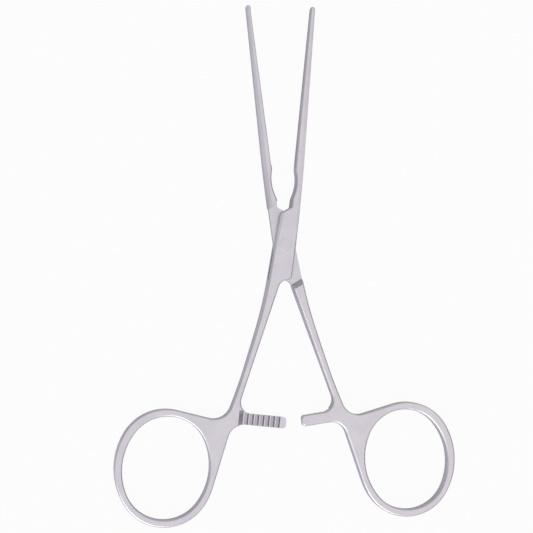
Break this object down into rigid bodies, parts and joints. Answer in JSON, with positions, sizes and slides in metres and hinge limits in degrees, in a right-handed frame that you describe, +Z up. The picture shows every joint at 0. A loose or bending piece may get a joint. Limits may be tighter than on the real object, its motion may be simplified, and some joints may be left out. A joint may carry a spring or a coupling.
{
  "type": "ring-handled bulldog clamp",
  "caption": "Slender straight vascular clamp with a box lock joint, finger rings and ratchet bars that hold it shut.",
  "frame": {"origin": "on the pivot axis, at the outer face of the lower cheek, which is the face the clamp lies on", "axes": "+Z up through the thickness along the pivot, +Y towards the jaw tips along the bisector of the open jaws, +X towards the box half's jaw"},
  "size_m": [0.0808, 0.1209, 0.004],
  "materials": {
    "satin_steel": "fine matt satin",
    "rivet_steel": "satin, ground flush with the cheeks"
  },
  "bodies": {
    "box_arm": {"box_half": "satin_steel", "pivot_rivet": "rivet_steel"},
    "tenon_arm": {"tenon_half": "satin_steel"}
  },
  "joints": [
    {"name": "box_lock_hinge", "type": "hinge", "parent": "box_arm", "child": "tenon_arm", "pos_m": [0, 0, 0.002], "axis": [0, 0, 1], "range_deg": [-14.56, 25]}
  ]
}
